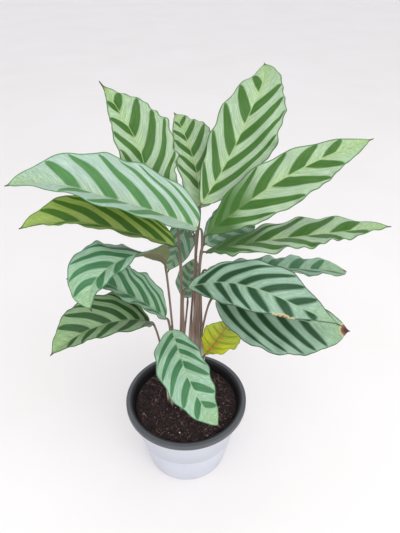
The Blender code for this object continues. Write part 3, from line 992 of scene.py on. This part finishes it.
LEAVES = (
    Leaf(
        "tallest", (9, 8), ((16, 15, 313), (42, 35, 352), (60, 54, 387), (69, 73, 402), (71, 90, 412)),
        (-108, 25), 56, 8, Markings((0.06, 0.19, 0.37, 0.59, 0.8), (0.1, 0.26, 0.44, 0.63), (0.33, 0.42)),
        widest=0.5, wave_start=0.2, lean=0.14, ruffle=0.04, base=0.68, taper=0.85, crimp=(0.15, 1.2),
    ),
    Leaf(
        "back_left", (-3, 14),
        ((-9, 18, 304), (-28, 27, 330), (-38, 42, 356), (-55, 60, 380), (-71, 72, 401)), (-60, 20), 52, 20,
        Markings((0.22, 0.4, 0.6, 0.78), (0.1, 0.25, 0.4, 0.6, 0.8), (0.38, 0.3)), widest=0.46, lean=0.13,
        skew=0.06, taper=1.3, drip=10.0, crimp=(0.7, 1.2),
    ),
    Leaf(
        "back_middle", (3, 19), ((15, 26, 304), (11, 50, 332), (1, 72, 354), (-9, 92, 368)), (-68, 25), 46,
        16, Markings((0.2, 0.36, 0.52, 0.68, 0.82), (0.2, 0.36, 0.52, 0.7, 0.84), (0.3, 0.3)), widest=0.44,
        lean=0.2, skew=0.06, base=0.45, crimp=(0.4, 1),
    ),
    Leaf(
        "left_high", (3, -1),
        ((13, -6, 302), (-26, -6, 319), (-55, -10, 331), (-93, -14, 345), (-136, -16, 345)), (-90, 74), 60,
        32,
        Markings(
            (0.22, 0.42, 0.6), (-0.05, 0.04, 0.13, 0.28, 0.47, 0.66), (0.2, 0.38), -0.06, tint=Tint.FROSTED,
        ),
        widest=0.45, wave=1.5, base=0.36, crimp=(0.15, 0.1),
    ),
    Leaf(
        "left_middle", (-6, 4), ((-7, -2, 282), (-45, -8, 299), (-82, -14, 312), (-132, -18, 308)), (-90, 78),
        44, 36,
        Markings((0.2, 0.4, 0.6), (-0.12, -0.04, 0.08, 0.26, 0.46, 0.66), (0.25, 0.6), 0.04, tint=Tint.OLIVE),
        widest=0.48, wave=1.5, base=0.5, taper=0.85, slot="olive_leaf", crimp=(0.4, 0.2),
    ),
    Leaf(
        "left_arching", (-10, 0),
        ((-16, -9, 269), (-26, -26, 289), (-46, -42, 294), (-59, -53, 291), (-69, -64, 281), (-69, -70, 264)),
        (104, 46), 42, 14, Markings((0.3, 0.5, 0.7), (0.28, 0.44, 0.6, 0.76), (0.25, 0.3), tint=Tint.COOL),
        widest=0.52, face_tip=(-110, 12), wave=1.5, lean=0.25, skew=0.12, taper=0.8,
    ),
    Leaf(
        "left_low", (-15, -9),
        ((-17, -12, 209), (-36, -20, 234), (-52, -27, 251), (-68, -32, 266), (-95, -36, 271)), (-90, 74), 39,
        30, Markings((0.1, 0.25, 0.42, 0.6), (-0.02, 0.09, 0.24, 0.42, 0.62), (0.35, 0.45), tint=Tint.COOL),
        widest=0.38, wave=1.5, lean=0.08,
    ),
    Leaf(
        "left_lowest", (-19, -4), ((-31, -18, 209), (-50, -34, 225), (-77, -50, 229), (-110, -68, 215)),
        (-90, 74), 45, 30,
        Markings((0.03, 0.2, 0.4, 0.58, 0.75), (0.03, 0.15, 0.3, 0.45, 0.65), (0.3, 0.42), tint=Tint.SHADED),
        widest=0.45, wave=1.5, lean=0.04, skew=0.08, base=0.62,
    ),
    Leaf(
        "front_hanging", (-5, -15), ((-11, -22, 203), (-4, -42, 195), (4, -62, 184), (33, -80, 138)),
        (-90, 60), 44, 12,
        Markings(
            (0.11, 0.21, 0.33, 0.54, 0.73), (0.05, 0.17, 0.31, 0.49, 0.68), (0.25, 0.25), -0.05,
            tint=Tint.COOL,
        ),
        widest=0.38, wave=1.5, wave_start=0.8, lean=0.1, skew=-0.06, ruffle=0.05, crimp=(0.1, 0.0),
    ),
    Leaf(
        "yellowing", (21, -12), ((20, -8, 157), (33, -11, 183), (44, -12, 206)), (-90, 30), 36, 12,
        Markings(duty=-0.2, soft=0.25, tint=Tint.YELLOWING), widest=0.68, wave=1.5, waves=3.0, lean=0.06,
        skew=0.04, base=0.95, slot="yellow_leaf", crimp=(1, 1),
    ),
    Leaf(
        "right_high", (10, 1), ((21, 1, 291), (52, -5, 324), (100, -5, 358), (148, 2, 376)), (-95, 45), 43,
        10, Markings((0.09, 0.2, 0.37, 0.6, 0.77), (0.12, 0.27, 0.5, 0.68), (0.3, 0.3), shaded_base=46.0),
        widest=0.46, lean=0.11, skew=0.04, base=0.8, crimp=(0.15, 1),
    ),
    Leaf(
        "right_long", (17, 3), ((20, 7, 270), (66, -5, 288), (112, -10, 298), (172, -12, 307)), (-90, 88), 46,
        8,
        Markings(
            (0.09, 0.2, 0.31, 0.52, 0.74), (0.1, 0.25, 0.42, 0.6, 0.8), (0.27, 0.25), 0.06, shaded_base=40.0,
        ),
        widest=0.48, skew=-0.07, wave_start=0.5, base=0.7, crimp=(0.15, 1.4),
    ),
    Leaf(
        "right_hidden", (13, 18), ((20, 18, 271), (45, 32, 283), (70, 44, 293)), (-90, 40), 40, 8,
        Markings(tint=Tint.FAINT), widest=0.5, crimp=(0.6, 0.6),
    ),
    Leaf(
        "right_narrow", (19, 10), ((22, 14, 245), (69, 20, 242), (116, 26, 238), (158, 30, 232)), (90, 80),
        42, 10, Markings((0.28, 0.43, 0.61, 0.76), (0.3, 0.45, 0.6, 0.8), (0.15, 0.25), tint=Tint.COOL),
        widest=0.6, taper=0.25, crimp=(0.5, 0.4),
    ),
    Leaf(
        "right_broad", (2, -10),
        ((4, -14, 245), (36, -30, 263), (66, -50, 269), (100, -58, 256), (130, -64, 244)), (-90, 50), 44, 10,
        Markings(
            (0.1, 0.24, 0.38, 0.52, 0.69), (0.08, 0.22, 0.32, 0.44, 0.62, 0.8), (0.3, 0.22), -0.02, 0.2,
            Tint.DEEP,
            scorch=(
                (0.62, 1.0, 1.3), (0.645, 1.0, 2.2), (0.67, 1.0, 2.8), (0.69, 1.0, 2.2), (0.72, 1.0, 1.3),
            ),
        ),
        widest=0.48, lean=-0.06, skew=-0.07, base=0.8, taper=1.45, slot="dark_leaf", crimp=(0.2, 0.4),
    ),
    Leaf(
        "right_lowest", (10, -9), ((30, -4, 225), (64, -20, 225), (103, -34, 225), (146, -42, 219)),
        (-90, 48), 55, 10,
        Markings(
            (0.1, 0.25, 0.42, 0.56, 0.68), (0.04, 0.18, 0.33, 0.49, 0.66), (0.35, 0.35), -0.02, 0.2,
            Tint.DEEP, scorch=((0.985, 0.0, 8.0),),
        ),
        widest=0.5, lean=0.26, skew=0.02, base=0.58, taper=0.72, slot="dark_leaf", crimp=(0.2, 0.4),
    ),
    Leaf(
        "inner_left", (9, 39), ((9, 37, 271), (4, 35, 278), (-5, 29, 261), (-16, 22, 236)), (-90, 40), 27, 8,
        Markings(tint=Tint.FAINT), wave=1.0, waves=3.0,
    ),
    Leaf(
        "inner_back", (-5, 30), ((2, 45, 187), (4, 49, 209), (12, 54, 234)), (-90, 30), 27, 8,
        Markings(tint=Tint.FAINT), wave=1.0, waves=3.0,
    ),
)


# ---- pots and soil


@dataclass
class TurnedPot:
    """A moulded round pot, turned from the outline of its wall."""

    name: str
    node: str  # the CAD node that it replaces
    profile: tuple[tuple[float, float, float], ...]  # radius, height and how softly the corner is rounded
    finish: MouldedPolypropylene
    sides: int = 160

    def build(self) -> list[Piece]:
        """Build and dress the pot.

        Returns:
            The pot.
        """
        pot = turned(self.name, softened(self.profile), self.sides)
        settle(pot, self.node, self.node)
        self.dress(pot)
        return [pot]

    def dress(self, pot: Piece) -> None:
        """Give the pot its plastic."""
        self.finish.dress(pot)


# white and tapered, with a faint step at mid-height; everything stands in it
OUTER_POT = TurnedPot(
    "white_outer_pot",
    "outer_pot",
    (
        (0.0, 0.0, 0.0), (43.9, 0.0, 0.7), (44.9, 6.6, 0.6), (45.6, 8.0, 0.6),
        (52.35, 40.8, 0.0), (52.1, 41.3, 0.0), (52.55, 41.8, 0.0),
        (60.8, 82.0, 0.5), (60.9, 85.3, 0.4), (59.3, 85.3, 0.4), (42.2, 2.4, 2.0), (0.0, 2.4, 0.0),
    ),
    MouldedPolypropylene("white_polypropylene", "#c9ccd4", "#bfc2cb"),
)
# the grey liner, whose flange caps the outer pot's wall
GROW_POT = TurnedPot(
    "grey_grow_pot",
    "grow_pot",
    (
        (0.0, 8.0, 0.0), (42.4, 8.0, 0.6), (58.8, 85.6, 0.2), (63.2, 85.6, 0.2), (63.2, 82.2, 0.3),
        (65.0, 82.2, 0.4), (65.0, 86.7, 0.5), (64.2, 87.5, 0.5), (59.2, 87.5, 0.7), (57.4, 85.0, 0.8),
        (41.0, 9.6, 1.5), (0.0, 9.6, 0.0),
    ),
    MouldedPolypropylene(
        # its inner wall is darkened by soil stain and painted shade
        "grey_polypropylene", "#585b5e", "#46494d", roughness=0.46, dust=0.2, soiled_and_shaded_within=61.2,
    ),
)


@dataclass
class SoilBed:
    """Damp potting soil with crumbs, coir fibres and a few pale grains."""

    profile: tuple[Pair, ...] = (
        (0.0, 82.4), (22.0, 81.8), (40.0, 80.2), (51.0, 78.6), (55.2, 77.6),
    )
    edge_radius: float = 55.2
    foot_radius: float = 40.6
    foot_z: float = 10.0
    ring_step: float = 0.85
    sides: int = 340
    # size and height of the lumps, in mm, from coarse to fine
    lumps: tuple[Pair, ...] = ((17.0, 1.4), (5.0, 1.0), (1.9, 0.6))
    edge_fade: Pair = (3.0, 0.25)  # mm over which the lumps grow from the edge, and their share there
    # how many, least and greatest radius, and how far its middle is lifted, as a share of the radius
    crumbs: tuple[int, Pair, float] = (1900, (0.4, 1.9), 0.25)
    grains: tuple[int, Pair, float] = (26, (0.45, 1.1), 0.5)
    grain_clear: float = 0.6  # mm that they keep from the edge
    grain_dents: float = 0.22  # as a share of the radius
    grain_squash: Pair = (0.55, 1.0)  # least and greatest stretch of each axis
    seed: int = 7
    fibres: int = 620
    fibre_steps: int = 7
    fibre_sides: int = 4
    fibre_stride: Pair = (0.5, 1.7)  # least and greatest length of a step
    fibre_radius: Pair = (0.13, 0.28)
    fibre_arch: Pair = (0.0, 1.6)  # how high its middle stands off the soil
    fibre_wander: float = 0.35  # radians
    fibre_ends: float = 0.4  # the share of its radius that is left towards the ends
    fibre_clear: Pair = (4.0, 1.2)  # mm from the edge where one may start, and where it turns back
    fibre_return: float = 0.97  # a step that goes too far out is pulled in to this share
    # of the bed, the crumbs, the fibres and the grains
    finishes: tuple[Finish, ...] = (
        Peat(),
        LooseGrain("peat_crumb", ((0.0, "#100b0b"), (0.5, "#231717"), (0.8, "#40292a"), (1.0, "#755853"))),
        LooseGrain("coir_fibre", ((0.0, "#241718"), (0.45, "#452e2c"), (0.8, "#6d4f4a"), (1.0, "#a88a72"))),
        LooseGrain("perlite", ((0.0, "#8f867a"), (0.6, "#c9c2b4"), (1.0, "#efeae0"))),
    )

    def height(self, x: float, y: float) -> float:
        """Find how high the soil's surface is.

        Args:
            x: place along X in mm.
            y: place along Y in mm.

        Returns:
            The height there in mm.
        """
        radius = min(math.hypot(x, y), self.edge_radius)
        z = float(np.interp(radius, *zip(*self.profile)))
        fade = min(1.0, (self.edge_radius - radius) / self.edge_fade[0] + self.edge_fade[1])
        lumps = (tall * noise.noise(Vector((x / wide, y / wide, wide))) for wide, tall in self.lumps)
        return z + fade * sum(lumps)

    def spot(self, random: np.random.Generator, reach: float) -> Pair:
        """Draw a place on the soil, evenly over a disc of this radius."""
        radius, angle = reach * math.sqrt(random.random()), random.random() * TURN
        return radius * math.cos(angle), radius * math.sin(angle)

    def build_bed(self) -> Piece:
        """Build the soil's body with its uneven top.

        Returns:
            The bed.
        """
        rings = round(self.edge_radius / self.ring_step)
        radii = np.linspace(0, self.edge_radius, rings + 1)[1:]
        angles = np.linspace(0, TURN, self.sides, endpoint=False)
        circle = [(math.cos(a), math.sin(a)) for a in angles]
        top = [(r * x, r * y, self.height(r * x, r * y)) for r in radii for x, y in circle]
        bottom = [(self.foot_radius * x, self.foot_radius * y, self.foot_z) for x, y in circle]
        points = np.array([*top, *bottom, (0, 0, self.height(0, 0)), (0, 0, self.foot_z)])
        faces = [face[::-1] for face in closed_faces(len(radii) + 1, self.sides)]
        bed = make_piece("potting_soil", points, faces)
        settle(bed, "soil", "soil")
        return bed

    def scatter(self, name: str, grains: tuple[int, Pair, float], seed: int) -> Piece:
        """Scatter rough lumps over the soil.

        Args:
            name: the piece's name.
            grains: how many, least and greatest radius in mm, and the lift as a share of the radius.
            seed: seed of the scatter.

        Returns:
            One piece with all the lumps.
        """
        source = bmesh.new()
        bmesh.ops.create_icosphere(source, subdivisions=2, radius=1.0)
        ball = np.array([v.co for v in source.verts])
        ball_faces = np.array([[v.index for v in f.verts] for f in source.faces])
        source.free()
        random = np.random.default_rng(seed)
        count, (least, greatest), lift = grains
        points, faces, tones = [], [], []
        for k in range(count):
            size = least + (greatest - least) * random.random() ** 3
            x, y = self.spot(random, self.edge_radius - size - self.grain_clear)
            turn, _ = np.linalg.qr(random.normal(size=(3, 3)))
            dents = self.grain_dents * random.normal(size=(len(ball), 1))
            shape = ball * (1 + dents) * random.uniform(*self.grain_squash, 3)
            place = np.array([x, y, self.height(x, y) + lift * size])
            points.append(shape @ turn.T * size + place)
            faces.append(ball_faces + k * len(ball))
            tones.append(np.full(len(ball), random.random()))
        tone = {"tone": np.concatenate(tones)}
        return make_piece(name, np.vstack(points), np.vstack(faces).tolist(), tone)

    def build_fibres(self) -> Piece:
        """Lay coir fibres over the soil as thin wandering threads.

        Returns:
            One piece with all the fibres.
        """
        random = np.random.default_rng(self.seed + 3)
        steps, sides = self.fibre_steps, self.fibre_sides
        clear, turns_back = self.fibre_clear
        angles = np.linspace(0, TURN, sides, endpoint=False)
        upwards = np.sin(angles)[:, None] * np.array([0.0, 0.0, 1.0])
        ends = (range(sides), range(steps * sides - 1, (steps - 1) * sides - 1, -1))
        thread = [*grid_faces(steps, sides, wrap=True), *(tuple(end) for end in ends)]
        points, faces, tones = [], [], []
        for fibre in range(self.fibres):
            x, y = self.spot(random, self.edge_radius - clear)
            heading, stride = random.random() * TURN, random.uniform(*self.fibre_stride)
            thick, arch = random.uniform(*self.fibre_radius), random.uniform(*self.fibre_arch)
            tones.append(np.full(steps * sides, random.random()))
            faces += [tuple(fibre * steps * sides + v for v in face) for face in thread]
            for step in range(steps):
                z = self.height(x, y) + thick + arch * math.sin(math.pi * step / (steps - 1))
                normal = np.array([-math.sin(heading), math.cos(heading), 0.0])
                middle = (1 - self.fibre_ends) * math.sin(math.pi * (step + 0.5) / steps)
                thin = thick * (self.fibre_ends + middle)
                points.append(np.array([x, y, z]) + thin * (np.cos(angles)[:, None] * normal + upwards))
                heading += random.normal() * self.fibre_wander
                x, y = x + stride * math.cos(heading), y + stride * math.sin(heading)
                if math.hypot(x, y) > self.edge_radius - turns_back:
                    heading += math.pi / 2
                    x, y = x * self.fibre_return, y * self.fibre_return
        return make_piece("coir_fibres", np.vstack(points), faces, {"tone": np.concatenate(tones)})

    def build(self) -> list[Piece]:
        """Build and dress the soil.

        Returns:
            The bed, crumbs, fibres and grains.
        """
        pieces = [
            self.build_bed(),
            self.scatter("soil_crumbs", self.crumbs, self.seed),
            self.build_fibres(),
            self.scatter("perlite_grains", self.grains, self.seed + 1),
        ]
        for piece in pieces[1:]:
            settle(piece, "soil")
        self.dress(pieces)
        return pieces

    def dress(self, pieces: Sequence[Piece]) -> None:
        """Give the bed, crumbs, fibres and grains their finishes, in that order."""
        for piece, finish in zip(pieces, self.finishes):
            finish.dress(piece)


# ---- studio


@dataclass
class Studio:
    """The pale floor, the soft light and the camera."""

    camera_at: Point = (0.015, -0.369, 0.512)
    camera_pitch: float = 55.5
    lens: float = 33.77
    sensor: float = 36.0
    floor_size: float = 14.0
    floor_z: float = -0.3  # mm
    room: str = "#eef1f6"  # colour of the even light
    room_light: float = 1.05
    lit_place: Point = (0.0, 0.0, 0.22)  # the middle of the plant, in metres
    # name, place and size in metres, power in watts and colour
    lights: tuple[tuple[str, Point, float, float, str], ...] = (
        ("window", (0.35, -0.95, 1.45), 1.8, 13.0, "#fdfdff"),
        ("room_fill", (0.4, -1.2, 0.6), 1.6, 5.0, "#f6f8ff"),
    )

    def area_light(self, name: str, place: Point, size: float, power: float, colour: str) -> None:
        """Hang a square soft light that points at the middle of the plant.

        Args:
            name: the light's name.
            place: its place in metres.
            size: its side in metres.
            power: its power in watts.
            colour: its colour as sRGB hex.
        """
        light = bpy.data.lights.new(name, "AREA")
        light.size = size
        light.energy = power
        light.color = linear(colour)[:3]
        lamp = bpy.data.objects.new(name, light)
        lamp.location = place
        lamp.rotation_euler = (Vector(self.lit_place) - Vector(place)).to_track_quat("-Z", "Y").to_euler()
        bpy.context.scene.collection.objects.link(lamp)

    def build_floor(self) -> None:
        """Lay the matt painted floor."""
        half = self.floor_size / 2 / MM
        corners = [(x * half, y * half, self.floor_z) for x, y in ((-1, -1), (1, -1), (1, 1), (-1, 1))]
        floor = make_piece("painted_floor", corners, [(0, 1, 2, 3)])
        MattPaint().dress(floor)

    def build_world(self) -> None:
        """Fill the room with even, slightly cool light."""
        world = bpy.data.worlds.new("room")
        world.use_nodes = True
        background = world.node_tree.nodes["Background"]
        background.inputs["Color"].default_value = linear(self.room)
        background.inputs["Strength"].default_value = self.room_light
        bpy.context.scene.world = world

    def build(self) -> None:
        """Set up the floor, the light and the camera."""
        self.build_floor()
        self.build_world()
        for light in self.lights:
            self.area_light(*light)
        lens = bpy.data.cameras.new("camera")
        lens.lens = self.lens
        lens.sensor_width = self.sensor
        camera = bpy.data.objects.new("camera", lens)
        camera.location = self.camera_at
        camera.rotation_euler = (math.radians(self.camera_pitch), 0.0, 0.0)
        bpy.context.scene.collection.objects.link(camera)
        bpy.context.scene.camera = camera
        bpy.context.scene.view_settings.view_transform = "Standard"


def main() -> None:
    """Build the plant and its pots in order, then the studio."""
    logging.basicConfig(level=logging.INFO, format="%(message)s")
    for assembly in (OUTER_POT, GROW_POT, SoilBed(), *LEAVES):
        for piece in assembly.build():
            LOG.info("%s: %d faces", piece.name, len(piece.data.polygons))
    Studio().build()


if __name__ == "__main__":
    main()
